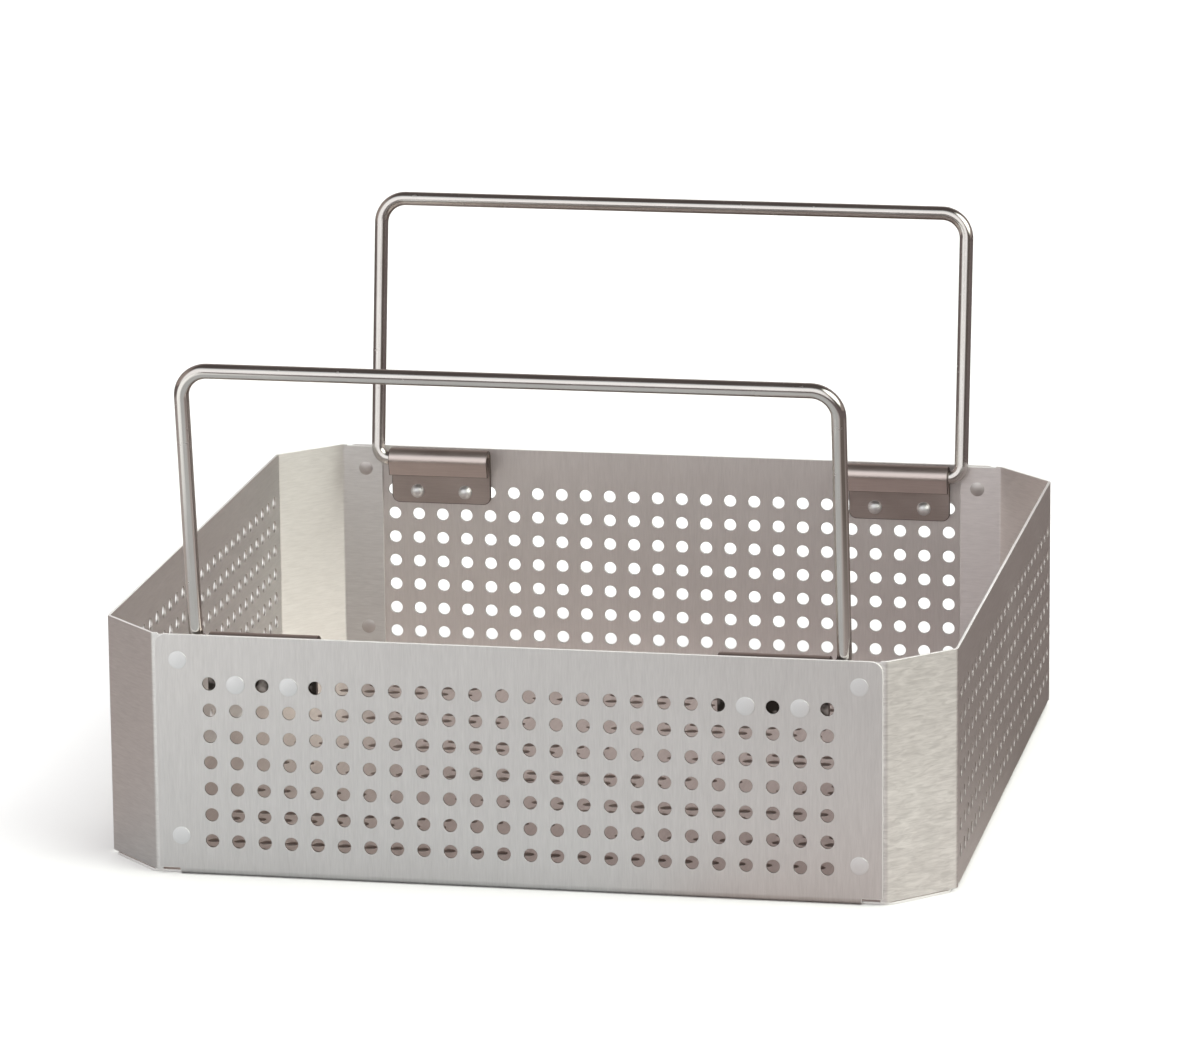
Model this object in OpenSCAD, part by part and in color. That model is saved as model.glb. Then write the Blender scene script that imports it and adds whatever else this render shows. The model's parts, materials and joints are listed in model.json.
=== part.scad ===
// Half-size perforated instrument tray with two folding wire handles.
// The origin is at the middle of the underside, +Z is up, and +X runs along the end
// walls that carry the handles. Lengths are in millimetres, angles in degrees.

/* [Tray] */
// Outer width, along the end walls that carry the handles
tray_w = 255; // [252:1:300]
// Outer depth, from one handled end wall to the other
tray_d = 252; // [248:1:600]
// Outer height, from the underside to the rim
tray_h = 73.5; // [70:0.5:110]
// Thickness of the folded sheet
sheet_t = 0.8; // [0.6:0.1:1.2]
// Length along each wall taken off by a corner panel
corner_cut = 19; // [17:0.5:21]
// Outer radius of the bends in the sheet
bend_r = 2; // [1.5:0.1:3]

/* [Perforation] */
// Diameter of the round holes
hole_d = 4; // [3.6:0.1:4.4]
// Distance between hole centres, the same both ways
hole_pitch = 8; // [7:0.5:8]
// Holes across an end wall
end_columns = 24; // [18:2:24]
// Holes along a side wall, and each way across the floor
side_columns = 26; // [10:2:26]
// Rows of holes up every wall
wall_rows = 7; // [3:1:7]
// Height of the lowest row of holes
first_row_z = 10.7; // [8:0.1:14]

/* [Handles] */
// Diameter of the handle wire
wire_d = 4.4; // [4:0.1:5]
// Height of the grip's middle above the hinge axis
handle_reach = 85.5; // [60:0.5:95]
// Radius of the wire's middle at the grip's two corners
grip_bend_r = 8; // [6:0.5:12]
// Radius of the wire's middle where a leg turns into its foot
foot_bend_r = 4; // [3.6:0.1:4.7]
// Lean outwards past upright, where a raised handle rests on the rim
handle_lean = 8; // [0:0.5:8]

/* [Hinge brackets] */
// Thickness of the bracket sheet
bracket_t = 1.3; // [1.2:0.1:1.5]
// Length of a bracket along the wall
bracket_l = 33; // [26:1:33]
// Drop from the hinge axis to the bracket's lower edge
bracket_drop = 15.2; // [14:0.1:20]

/* [Hidden] */
$fn = 64;

// Hole rows and columns
hole_r = hole_d / 2;
top_row_z = first_row_z + (wall_rows - 1) * hole_pitch;

// Plan of the tray
half_w = tray_w / 2;
half_d = tray_d / 2;
end_half = half_w - corner_cut;
side_half = half_d - corner_cut;
end_wall_half = end_half - 0.2;
bend_inner_r = bend_r - sheet_t;
rim_corner_r = 3.5;

// The floor's bends stop short of the corners, which leaves a small relief notch
end_relief = 6.5;
side_relief = 3;

// Corner panels: a 45 degree panel and a flange that laps inside the end wall
lap_l = 12.7;
lap_base_z = bend_r + 0.6;
lap_top_gap = 0.4;
lap_corner_r = 3;
lap_overlap = 1;
panel_base_z = sheet_t + 0.2;
lap_outer_y = half_d - sheet_t;
bend_setback = bend_r * tan(22.5);
panel_sum = half_w + side_half;
lap_start_x = panel_sum - lap_outer_y;
lap_end_x = end_half - lap_l;

// Rivets at the corners
corner_rivet_x = end_half - 7.1;
corner_rivet_z = [12, tray_h - 7.8];
corner_rivet_d = 3.2;
corner_head_d = 5.4;
corner_head_h = 0.25;
corner_tail_d = 4.6;
corner_tail_h = 0.45;

// Hinge: the rolled eye of each bracket is level with the rim
wire_r = wire_d / 2;
hinge_clearance = 0.08;
eye_bore_r = wire_r + hinge_clearance;
eye_r = eye_bore_r + bracket_t;
wall_inner_y = half_d - sheet_t;
hinge_y = wall_inner_y - eye_r;
hinge_z = tray_h - eye_r;
eye_wrap = 195;
lip_l = 4.4;
bracket_corner_r = 2.5;

// Each bracket is centred on the third hole from the end of the top row, and its two
// rivets go through the holes on either side of that one
bracket_x = ((end_columns - 1) / 2 - 2) * hole_pitch;
bracket_rivet_dx = hole_pitch;
rivet_head_d = 5.6;
rivet_head_h = 0.35;
rivet_tail_d = 4.6;
rivet_tail_h = 2;
rivet_play = 0.03;

// Handle: each leg stands just past its bracket, and its foot runs along the eye
foot_x = bracket_x + bracket_l / 2;
leg_x = foot_x + foot_bend_r;
foot_l = bracket_l - 5;
foot_tip = 0.4;

sheet_colour = "lightgray";
bracket_colour = "darkgray";
wire_colour = "silver";
rivet_colour = "gainsboro";

// A flat grid of round holes, centred on the origin across and starting at y = 0
module hole_grid(columns, rows, first_y) {
    for (i = [0 : columns - 1])
        for (j = [0 : rows - 1])
            translate([(i - (columns - 1) / 2) * hole_pitch, first_y + j * hole_pitch])
                circle(r = hole_r, $fn = 24);
}

// A rectangle from -half to +half, whose two upper corners are rounded
module wall_outline(half, base, top, corner_r) {
    translate([-half, base])
        square([2 * half, top - corner_r - base]);
    translate([-half + corner_r, base])
        square([2 * (half - corner_r), top - base]);
    for (side = [-1, 1])
        translate([side * (half - corner_r), top - corner_r])
            circle(r = corner_r);
}

// Quarter bend that joins a wall to the floor, drawn for the wall at -Y
module floor_bend(half) {
    translate([-half, 0, 0])
        rotate([90, 0, 90])
            linear_extrude(2 * half)
                intersection() {
                    difference() {
                        circle(r = bend_r);
                        circle(r = bend_inner_r);
                    }
                    translate([-2 * bend_r, -2 * bend_r])
                        square(2 * bend_r);
                }
}

// Octagonal perforated floor
module floor_panel() {
    y = half_d - bend_r;
    x = half_w - bend_r;
    first_y = -(side_columns - 1) / 2 * hole_pitch;
    color(sheet_colour)
        linear_extrude(sheet_t)
            difference() {
                polygon([
                    [-(panel_sum - y), -y], [panel_sum - y, -y],
                    [x, -(panel_sum - x)], [x, panel_sum - x],
                    [panel_sum - y, y], [-(panel_sum - y), y],
                    [-x, panel_sum - x], [-x, -(panel_sum - x)]
                ]);
                hole_grid(side_columns, side_columns, first_y);
            }
}

// End wall at -Y, with its bend and the holes for its four corner rivets
module end_wall() {
    color(sheet_colour) {
        translate([0, -half_d + sheet_t, 0])
            rotate([90, 0, 0])
                linear_extrude(sheet_t)
                    difference() {
                        wall_outline(end_wall_half, bend_r, tray_h, rim_corner_r);
                        hole_grid(end_columns, wall_rows, first_row_z);
                        for (side = [-1, 1], z = corner_rivet_z)
                            translate([side * corner_rivet_x, z])
                                circle(d = corner_rivet_d);
                    }
        translate([0, -half_d + bend_r, bend_r])
            floor_bend(end_half - end_relief);
    }
}

// Side wall, drawn at -Y and turned into place by the caller
module side_wall() {
    flat_half = side_half - bend_setback;
    color(sheet_colour) {
        translate([0, -half_w + sheet_t, 0])
            rotate([90, 0, 0])
                linear_extrude(sheet_t)
                    difference() {
                        translate([-flat_half, bend_r])
                            square([2 * flat_half, tray_h - bend_r]);
                        hole_grid(side_columns, wall_rows, first_row_z);
                    }
        translate([0, -half_w + bend_r, bend_r])
            floor_bend(side_half - side_relief);
    }
}

// Points along an arc about c, from angle a0 to a1
function arc(c, r, a0, a1, steps) = [
    for (i = [0 : steps])
        let (a = a0 + (a1 - a0) * i / steps)
            [c[0] + r * cos(a), c[1] + r * sin(a)]
];

// Plan of the corner panel: the bend from its side wall, the 45 degree panel, and the
// bend that leads into its lap flange
module corner_panel_plan() {
    side_c = [half_w - bend_r, -side_half + bend_setback];
    lap_c = [lap_start_x - bend_setback, -lap_outer_y + bend_r];
    lap_x = lap_c[0] - lap_overlap;
    steps = 8;
    polygon(concat(
        arc(side_c, bend_r, 0, -45, steps),
        arc(lap_c, bend_r, -45, -90, steps),
        [[lap_x, -lap_outer_y], [lap_x, -lap_outer_y + sheet_t]],
        arc(lap_c, bend_inner_r, -90, -45, steps),
        arc(side_c, bend_inner_r, -45, 0, steps)
    ));
}

// Flange that laps inside the end wall, seen from the front
module lap_outline() {
    top = tray_h - lap_top_gap;
    flange_l = lap_start_x - 1.5 * lap_overlap - lap_end_x;
    difference() {
        union() {
            translate([lap_end_x + lap_corner_r, lap_base_z])
                square([flange_l - lap_corner_r, top - lap_base_z]);
            translate([lap_end_x, lap_base_z])
                square([flange_l, top - lap_corner_r - lap_base_z]);
            translate([lap_end_x + lap_corner_r, top - lap_corner_r])
                circle(r = lap_corner_r);
        }
        for (z = corner_rivet_z)
            translate([corner_rivet_x, z])
                circle(d = corner_rivet_d);
    }
}

// Corner panel at +X, -Y
module corner_panel() {
    color(sheet_colour) {
        translate([0, 0, panel_base_z])
            linear_extrude(tray_h - panel_base_z)
                corner_panel_plan();
        translate([0, -lap_outer_y + sheet_t, 0])
            rotate([90, 0, 0])
                linear_extrude(sheet_t)
                    lap_outline();
    }
}

// A point turned clockwise by angle a about the origin
function turned(x, y, a) = [x * cos(a) + y * sin(a), y * cos(a) - x * sin(a)];

// Section of a bracket: x runs inboard from the wall, y is height above the hinge axis.
// The eye is rolled over the wire and ends in a flat lip that leans back under it.
module bracket_section() {
    tail = eye_wrap - 180;
    translate([0, -eye_r])
        square([bracket_t, eye_r]);
    translate([eye_r, 0])
        difference() {
            union() {
                circle(r = eye_r);
                rotate(-tail)
                    translate([eye_bore_r, -lip_l])
                        square([bracket_t, lip_l]);
            }
            circle(r = eye_bore_r);
            polygon([
                [0, 0],
                [-2 * eye_r, 0],
                [-2 * eye_r, -2 * eye_r],
                turned(eye_bore_r, -2 * eye_r, tail),
                turned(eye_bore_r, 0, tail)
            ]);
        }
}

// Bracket on the end wall at -Y, centred on x = 0
module hinge_bracket() {
    flange_half = bracket_l / 2;
    color(bracket_colour)
        translate([0, -wall_inner_y, hinge_z]) {
            translate([-flange_half, 0, 0])
                rotate([90, 0, 90])
                    linear_extrude(bracket_l)
                        bracket_section();
            translate([0, bracket_t, 0])
                rotate([90, 0, 0])
                    linear_extrude(bracket_t)
                        difference() {
                            union() {
                                translate([-flange_half, -bracket_drop + bracket_corner_r])
                                    square([bracket_l, bracket_drop - bracket_corner_r - eye_r]);
                                translate([-flange_half + bracket_corner_r, -bracket_drop])
                                    square([bracket_l - 2 * bracket_corner_r, bracket_drop - eye_r]);
                                for (side = [-1, 1])
                                    translate([side * (flange_half - bracket_corner_r),
                                               -bracket_drop + bracket_corner_r])
                                        circle(r = bracket_corner_r);
                            }
                            for (side = [-1, 1])
                                translate([side * bracket_rivet_dx, top_row_z - hinge_z])
                                    circle(r = hole_r);
                        }
        }
}

// Rivet along +Y: a flat head outside y = 0, and a domed tail past the grip length
module rivet(shank_d, grip, head_d, head_h, tail_d, tail_h) {
    dome_r = (tail_d * tail_d / 4 + tail_h * tail_h) / (2 * tail_h);
    edge = head_h * 0.6;
    color(rivet_colour)
        rotate([-90, 0, 0]) {
            cylinder(d = shank_d, h = grip);
            translate([0, 0, -head_h])
                rotate_extrude()
                    polygon([
                        [0, 0], [head_d / 2 - edge, 0], [head_d / 2, edge],
                        [head_d / 2, head_h], [0, head_h]
                    ]);
            translate([0, 0, grip])
                rotate_extrude()
                    intersection() {
                        translate([0, tail_h - dome_r])
                            circle(r = dome_r, $fn = 128);
                        square([tail_d, tail_h]);
                    }
        }
}

// Rivet through a bracket and the end wall at -Y
module bracket_rivet(x) {
    translate([x, -half_d, top_row_z])
        rivet(hole_d - 2 * rivet_play, sheet_t + bracket_t,
              rivet_head_d, rivet_head_h, rivet_tail_d, rivet_tail_h);
}

// Rivet through a lap flange and the end wall at -Y
module corner_rivet(side, z) {
    translate([side * corner_rivet_x, -half_d, z])
        rivet(corner_rivet_d - 2 * rivet_play, 2 * sheet_t,
              corner_head_d, corner_head_h, corner_tail_d, corner_tail_h);
}

// Quarter turn of wire in the XZ plane, about the origin, from angle a to a + 90
module wire_turn(r, a) {
    rotate([90, 0, 0])
        rotate(a)
            rotate_extrude(angle = 90)
                translate([r, 0])
                    circle(r = wire_r, $fn = 48);
}

// One half of a handle, standing on the hinge axis in the XZ plane
module handle_half() {
    turn_z = handle_reach - grip_bend_r;
    translate([foot_x - foot_l + foot_tip, 0, 0])
        rotate([0, 90, 0])
            cylinder(r = wire_r, h = foot_l - foot_tip);
    translate([foot_x - foot_l, 0, 0])
        rotate([0, 90, 0])
            cylinder(r1 = wire_r - foot_tip, r2 = wire_r, h = foot_tip);
    translate([foot_x, 0, foot_bend_r])
        wire_turn(foot_bend_r, -90);
    translate([leg_x, 0, foot_bend_r])
        cylinder(r = wire_r, h = turn_z - foot_bend_r);
    translate([leg_x - grip_bend_r, 0, turn_z])
        wire_turn(grip_bend_r, 0);
}

// Handle of the end wall at -Y, raised and leaning on the rim
module handle() {
    grip_l = 2 * (leg_x - grip_bend_r);
    color(wire_colour)
        translate([0, -hinge_y, hinge_z])
            rotate([handle_lean, 0, 0]) {
                handle_half();
                mirror([1, 0, 0])
                    handle_half();
                translate([-grip_l / 2, 0, handle_reach])
                    rotate([0, 90, 0])
                        cylinder(r = wire_r, h = grip_l);
            }
}

// Puts a part drawn for the front end of the tray at the back
module at_back() {
    mirror([0, 1, 0])
        children();
}

// Puts a part drawn for the right-hand side of the tray on the left
module at_left() {
    mirror([1, 0, 0])
        children();
}

floor_panel();
end_wall();  // front_wall
at_back() end_wall();  // back_wall
rotate(-90) side_wall();  // left_wall
rotate(90) side_wall();  // right_wall
at_left() corner_panel();  // front_left_corner
corner_panel();  // front_right_corner
at_left() at_back() corner_panel();  // back_left_corner
at_back() corner_panel();  // back_right_corner
translate([-bracket_x, 0, 0]) hinge_bracket();  // front_left_bracket
translate([bracket_x, 0, 0]) hinge_bracket();  // front_right_bracket
translate([-bracket_x, 0, 0]) at_back() hinge_bracket();  // back_left_bracket
translate([bracket_x, 0, 0]) at_back() hinge_bracket();  // back_right_bracket
handle();  // front_handle
at_back() handle();  // back_handle
bracket_rivet(-bracket_x - bracket_rivet_dx);  // front_left_outer_rivet
bracket_rivet(-bracket_x + bracket_rivet_dx);  // front_left_inner_rivet
bracket_rivet(bracket_x - bracket_rivet_dx);  // front_right_inner_rivet
bracket_rivet(bracket_x + bracket_rivet_dx);  // front_right_outer_rivet
at_back() bracket_rivet(-bracket_x - bracket_rivet_dx);  // back_left_outer_rivet
at_back() bracket_rivet(-bracket_x + bracket_rivet_dx);  // back_left_inner_rivet
at_back() bracket_rivet(bracket_x - bracket_rivet_dx);  // back_right_inner_rivet
at_back() bracket_rivet(bracket_x + bracket_rivet_dx);  // back_right_outer_rivet
corner_rivet(-1, corner_rivet_z[1]);  // front_left_upper_corner_rivet
corner_rivet(-1, corner_rivet_z[0]);  // front_left_lower_corner_rivet
corner_rivet(1, corner_rivet_z[1]);  // front_right_upper_corner_rivet
corner_rivet(1, corner_rivet_z[0]);  // front_right_lower_corner_rivet
at_back() corner_rivet(-1, corner_rivet_z[1]);  // back_left_upper_corner_rivet
at_back() corner_rivet(-1, corner_rivet_z[0]);  // back_left_lower_corner_rivet
at_back() corner_rivet(1, corner_rivet_z[1]);  // back_right_upper_corner_rivet
at_back() corner_rivet(1, corner_rivet_z[0]);  // back_right_lower_corner_rivet
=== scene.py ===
"""Looks of the half-size perforated instrument tray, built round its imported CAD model.

Every visible piece is made here in mesh code and stands for one CAD node. Lengths are in
metres, in the CAD frame: +Z is up and the tray's front end wall faces -Y.
"""
import json
import math

import bpy
import numpy as np
from mathutils import Matrix, Vector
from mathutils.geometry import delaunay_2d_cdt


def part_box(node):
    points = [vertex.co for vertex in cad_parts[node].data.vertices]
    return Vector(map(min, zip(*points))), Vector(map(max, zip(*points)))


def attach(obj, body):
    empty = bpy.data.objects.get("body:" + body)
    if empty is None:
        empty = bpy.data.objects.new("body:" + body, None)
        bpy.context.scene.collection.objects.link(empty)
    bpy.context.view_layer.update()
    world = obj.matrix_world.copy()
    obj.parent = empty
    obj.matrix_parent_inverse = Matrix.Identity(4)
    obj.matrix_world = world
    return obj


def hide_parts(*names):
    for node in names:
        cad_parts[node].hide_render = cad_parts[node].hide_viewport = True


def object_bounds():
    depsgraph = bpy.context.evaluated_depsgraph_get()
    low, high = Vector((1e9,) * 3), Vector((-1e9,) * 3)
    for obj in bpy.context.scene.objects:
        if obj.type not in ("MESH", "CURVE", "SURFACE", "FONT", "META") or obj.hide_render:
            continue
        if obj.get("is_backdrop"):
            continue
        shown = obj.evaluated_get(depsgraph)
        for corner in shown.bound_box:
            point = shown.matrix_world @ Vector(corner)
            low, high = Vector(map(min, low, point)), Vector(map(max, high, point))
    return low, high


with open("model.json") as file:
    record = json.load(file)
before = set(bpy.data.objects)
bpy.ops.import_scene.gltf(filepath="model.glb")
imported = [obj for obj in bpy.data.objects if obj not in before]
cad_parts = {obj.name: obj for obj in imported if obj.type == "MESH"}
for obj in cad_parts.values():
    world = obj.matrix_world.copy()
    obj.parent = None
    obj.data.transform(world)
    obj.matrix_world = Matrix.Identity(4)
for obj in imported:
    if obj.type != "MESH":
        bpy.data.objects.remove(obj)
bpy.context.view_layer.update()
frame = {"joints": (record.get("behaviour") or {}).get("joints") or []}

MM = 0.001

# Sizes read from the frame
HALF_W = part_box("right_wall")[1].x
HALF_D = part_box("back_wall")[1].y
RIM_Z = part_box("front_wall")[1].z
SHEET_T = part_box("floor_panel")[1].z
BRACKET_LO, BRACKET_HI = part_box("front_right_bracket")
EYE_R = (BRACKET_HI.y - BRACKET_LO.y) / 2
HINGE_Z = BRACKET_HI.z - EYE_R
BRACKET_DROP = HINGE_Z - BRACKET_LO.z
BRACKET_HALF = (BRACKET_HI.x - BRACKET_LO.x) / 2
WIRE_R = HINGE_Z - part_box("front_handle")[0].z
CORNER_RIVET_X = sum(p.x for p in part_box("front_right_upper_corner_rivet")) / 2
CORNER_RIVET_Z = [sum(p.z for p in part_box(f"front_right_{level}_corner_rivet")) / 2
                  for level in ("lower", "upper")]
TOP_ROW_Z = sum(p.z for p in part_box("front_left_outer_rivet")) / 2

# The pan's sheet
PITCH = 8 * MM
HOLE_R = 2 * MM
HOLE_SIDES = 28
ROUND_STEPS = 8
END_COLUMNS = 24
SIDE_COLUMNS = 26
WALL_ROWS = 7
CORNER_CUT = 19 * MM
BEND_R = 2 * MM
BEND_STEPS = 8
SHEET_BEVEL = 0.14 * MM
END_HALF = HALF_W - CORNER_CUT
SIDE_HALF = HALF_D - CORNER_CUT
END_WALL_HALF = END_HALF - 0.2 * MM
END_RELIEF = 6.5 * MM
SIDE_RELIEF = 3 * MM
RIM_CORNER_R = 3.5 * MM
CORNER_HOLE_R = 1.6 * MM
BEND_ARC = BEND_R * math.pi / 2
GRID_HALF = (SIDE_COLUMNS - 1) / 2 * PITCH + HOLE_R
# How near to a bend line an edge counts as lying on it
NEAR = 0.01 * MM

# Corner panels and their lap flanges
SETBACK = BEND_R * math.tan(math.radians(22.5))
PANEL_SUM = HALF_W + SIDE_HALF
LAP_Y = HALF_D - SHEET_T
LAP_START_X = PANEL_SUM - LAP_Y
LAP_END_X = END_HALF - 12.7 * MM
LAP_BASE_Z = BEND_R + 0.6 * MM
LAP_TOP_Z = RIM_Z - 0.4 * MM
LAP_CORNER_R = 3 * MM
LAP_STEP = 1 * MM
PANEL_BASE_Z = SHEET_T + 0.2 * MM
HALF_BEND_ARC = BEND_R * math.pi / 4
HALF_BEND_STEPS = 6

# Brackets
BRACKET_T = 1.3 * MM
BRACKET_BEVEL = 0.25 * MM
BRACKET_CORNER_R = 2.5 * MM
EYE_WRAP = math.radians(195)
EYE_STEPS = 30
LIP_L = 4.4 * MM

# Handles
GRIP_BEND_R = 8 * MM
FOOT_BEND_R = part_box("front_handle")[1].x - WIRE_R - BRACKET_HI.x
FOOT_L = 28 * MM
FOOT_TIP = 0.4 * MM
WIRE_SIDES = 40

# Rivets
RIVET_SIDES = 36
RIVET_TAIL_R = 2.3 * MM
BRACKET_SHANK_R = 1.97 * MM
LAP_SHANK_R = 1.57 * MM

# Camera: the photograph's viewpoint, turned to face the tray
CAMERA_AZIMUTH = 11.04
CAMERA_ELEVATION = 13.675
CAMERA_DISTANCE = 2.096
CAMERA_ROLL = -0.55
CAMERA_LENS = 205

# Studio: what the metal mirrors. Azimuth 0 is in front of the tray and 90 on its right
ROOM_LOW = (0.40, 0.335, 0.305)
ROOM_HIGH = (0.10, 0.085, 0.08)
ROOM_BACK = (0.32, 0.27, 0.255)
FRONT_AZIMUTH = -18
FRONT_LIGHT = (0.88, 0.93, 0.95)
GAP_AZIMUTH = 52
GAP_DARK = (0.12, 0.10, 0.09)
KEY_LIGHT = (3.45, 3.62, 3.28)
FLOOR_SIDE = (0.38, 0.335, 0.325)
FLOOR_BACK = (0.12, 0.092, 0.085)
FLOOR_FAR = (0.13, 0.105, 0.105)
FLOOR_FRONT = (0.42, 0.425, 0.43)
STRIP_AZIMUTH = -38
FLOOR_STRIP = (1.0, 1.0, 1.0)
# Painted shadow on the floor under the tray, seen through the tray's holes
PAINTED_SHADE_UNDER_TRAY = (0.13, 0.107, 0.098)
FLOOR_HALF = 9.0
FLOOR_CELLS = 18
LIGHT_PLACE = (0.1, 0.6, 4.2)
LIGHT_SIZE = 5.0
LIGHT_POWER = 195


# ---------------------------------------------------------------- node helpers

def new_material(name):
    material = bpy.data.materials.new(name)
    material.use_nodes = True
    material.node_tree.nodes.clear()
    return material, material.node_tree


def add(tree, kind, inputs=None, **settings):
    """A shader node with its settings and inputs; an input is a value or another node's output."""
    made = tree.nodes.new("ShaderNode" + kind)
    for key, value in settings.items():
        setattr(made, key, value)
    for key, value in (inputs or {}).items():
        if isinstance(value, bpy.types.NodeSocket):
            tree.links.new(value, made.inputs[key])
        else:
            made.inputs[key].default_value = value
    return made


def math_node(tree, operation, *values):
    return add(tree, "Math", dict(enumerate(values)), operation=operation).outputs[0]


def spread(tree, value, low, high, to_low, to_high, smooth=False):
    """Value moved from the range low..high to to_low..to_high, and held there."""
    inputs = {"Value": value, "From Min": low, "From Max": high, "To Min": to_low, "To Max": to_high}
    kind = "SMOOTHSTEP" if smooth else "LINEAR"
    return add(tree, "MapRange", inputs, interpolation_type=kind).outputs["Result"]


def stretched(tree, vector, scale):
    return add(tree, "VectorMath", {0: vector, 1: scale}, operation="MULTIPLY").outputs[0]


def noise(tree, vector, scale=1.0, detail=2.0, roughness=0.5, distortion=0.0):
    inputs = {"Vector": vector, "Scale": scale, "Detail": detail,
              "Roughness": roughness, "Distortion": distortion}
    return add(tree, "TexNoise", inputs).outputs[0]


def mix_colour(tree, factor, a, b):
    made = add(tree, "Mix", {"Factor": factor}, data_type="RGBA")
    for socket, value in ((6, a), (7, b)):
        if isinstance(value, bpy.types.NodeSocket):
            tree.links.new(value, made.inputs[socket])
        else:
            made.inputs[socket].default_value = (*value, 1)
    return made.outputs[2]


def finish_metal(tree, colour, roughness, height, depth, anisotropy=0.0, map_name=None,
                 metallic=1.0):
    """The surface shader: metal with its colour, roughness and relief from nodes."""
    bump = add(tree, "Bump", {"Height": height, "Distance": depth, "Strength": 1.0})
    inputs = {"Base Color": colour, "Metallic": metallic, "Roughness": roughness,
              "Normal": bump.outputs[0], "Anisotropic": anisotropy}
    shader = add(tree, "BsdfPrincipled", inputs)
    if map_name:
        tangent = add(tree, "Tangent", direction_type="UV_MAP", uv_map=map_name)
        tree.links.new(tangent.outputs[0], shader.inputs["Tangent"])
    output = add(tree, "OutputMaterial")
    tree.links.new(shader.outputs[0], output.inputs[0])


# ---------------------------------------------------------------- materials

def brushed_sheet(name, dark, light, wave, curl):
    """Satin stainless sheet, brushed one way over the whole blank. wave is how strongly the
    brushing wanders in bands, and a higher curl makes those bands shorter."""
    material, tree = new_material(name)
    blank = add(tree, "UVMap", uv_map="blank").outputs[0]
    place = add(tree, "TexCoord").outputs["Object"]
    fine = noise(tree, stretched(tree, blank, (5200, 260, 1)), detail=2.0)
    medium = noise(tree, stretched(tree, blank, (1500, 110 * curl, 1)), detail=3.0, distortion=0.5)
    broad = noise(tree, stretched(tree, blank, (420 * curl, 60 * curl ** 2, 1)),
                  detail=2.0, distortion=1.2)
    cloud = noise(tree, place, 16.0, 4.0, 0.6)
    smudge = spread(tree, noise(tree, place, 38.0, 6.0, 0.62, 0.7), 0.52, 0.72, 0.0, 1.0, smooth=True)
    grain = math_node(tree, "ADD", math_node(tree, "MULTIPLY", fine, 0.5),
                      math_node(tree, "MULTIPLY", medium, 0.5))
    tone = math_node(tree, "ADD", spread(tree, grain, 0.36, 0.64, -0.5, 0.5),
                     spread(tree, broad, 0.3, 0.7, -0.2 * wave, 0.2 * wave))
    tone = math_node(tree, "ADD", tone, spread(tree, cloud, 0.3, 0.7, -0.2, 0.2))
    colour = mix_colour(tree, spread(tree, tone, -0.9, 0.9, 0.0, 1.0), dark, light)
    roughness = math_node(tree, "ADD", spread(tree, grain, 0.35, 0.65, 0.47, 0.53),
                          math_node(tree, "MULTIPLY", smudge, 0.05))
    height = math_node(tree, "ADD", grain, math_node(tree, "MULTIPLY", broad, 0.9 * wave))
    finish_metal(tree, colour, roughness, height, 0.010 * MM, 0.6, "blank")
    return material


def cut_edge(name, low, high, metallic):
    """Sheared or punched edge of a sheet, with fine streaks across the thickness. A torn edge
    scatters light, so it is less of a mirror than the faces."""
    material, tree = new_material(name)
    place = add(tree, "TexCoord").outputs["Object"]
    streaks = noise(tree, place, 2600.0, 3.0)
    colour = mix_colour(tree, streaks, low, high)
    roughness = spread(tree, streaks, 0.3, 0.7, 0.36, 0.52)
    finish_metal(tree, colour, roughness, streaks, 0.01 * MM, metallic=metallic)
    return material


def plain_bracket():
    """Thicker cold-rolled sheet of the brackets: darker and smoother than the pan, with painted shade, near
    black in patches, on the face pressed against the wall, and painted light on the roll, which is paler."""
    material, tree = new_material("bracket_sheet")
    blank = add(tree, "UVMap", uv_map="blank").outputs[0]
    place = add(tree, "TexCoord").outputs["Object"]
    rolling = noise(tree, stretched(tree, blank, (120, 2600, 1)), detail=3.0)
    cloud = noise(tree, place, 70.0, 4.0, 0.6)
    tone = math_node(tree, "ADD", spread(tree, rolling, 0.3, 0.7, 0.2, 0.6),
                     spread(tree, cloud, 0.3, 0.7, 0.0, 0.4))
    colour = mix_colour(tree, tone, (0.47, 0.40, 0.38), (0.59, 0.52, 0.495))
    depth = math_node(tree, "ABSOLUTE", add(tree, "SeparateXYZ", {0: place}).outputs[1])
    # Painted light: the eye and its lip are painted paler than the flange.
    rolled = math_node(tree, "LESS_THAN", depth, HALF_D - SHEET_T - BRACKET_T - 0.1 * MM)
    paler = mix_colour(tree, tone, (0.56, 0.485, 0.465), (0.68, 0.605, 0.58))
    colour = mix_colour(tree, rolled, colour, paler)
    # Painted shade: the face pressed against the wall, seen only through the wall's holes, is painted near
    # black in patches.
    pressed = math_node(tree, "GREATER_THAN", depth, HALF_D - SHEET_T - 0.05 * MM)
    gap_shade_breakup = spread(tree, noise(tree, place, 230.0, 2.0), 0.5, 0.66, 0.0, 1.0)
    dark = mix_colour(tree, gap_shade_breakup, (0.03, 0.025, 0.022), (0.34, 0.30, 0.28))
    colour = mix_colour(tree, pressed, colour, dark)
    roughness = spread(tree, cloud, 0.3, 0.7, 0.30, 0.40)
    finish_metal(tree, colour, roughness, rolling, 0.003 * MM, 0.3, "blank")
    return material


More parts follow.
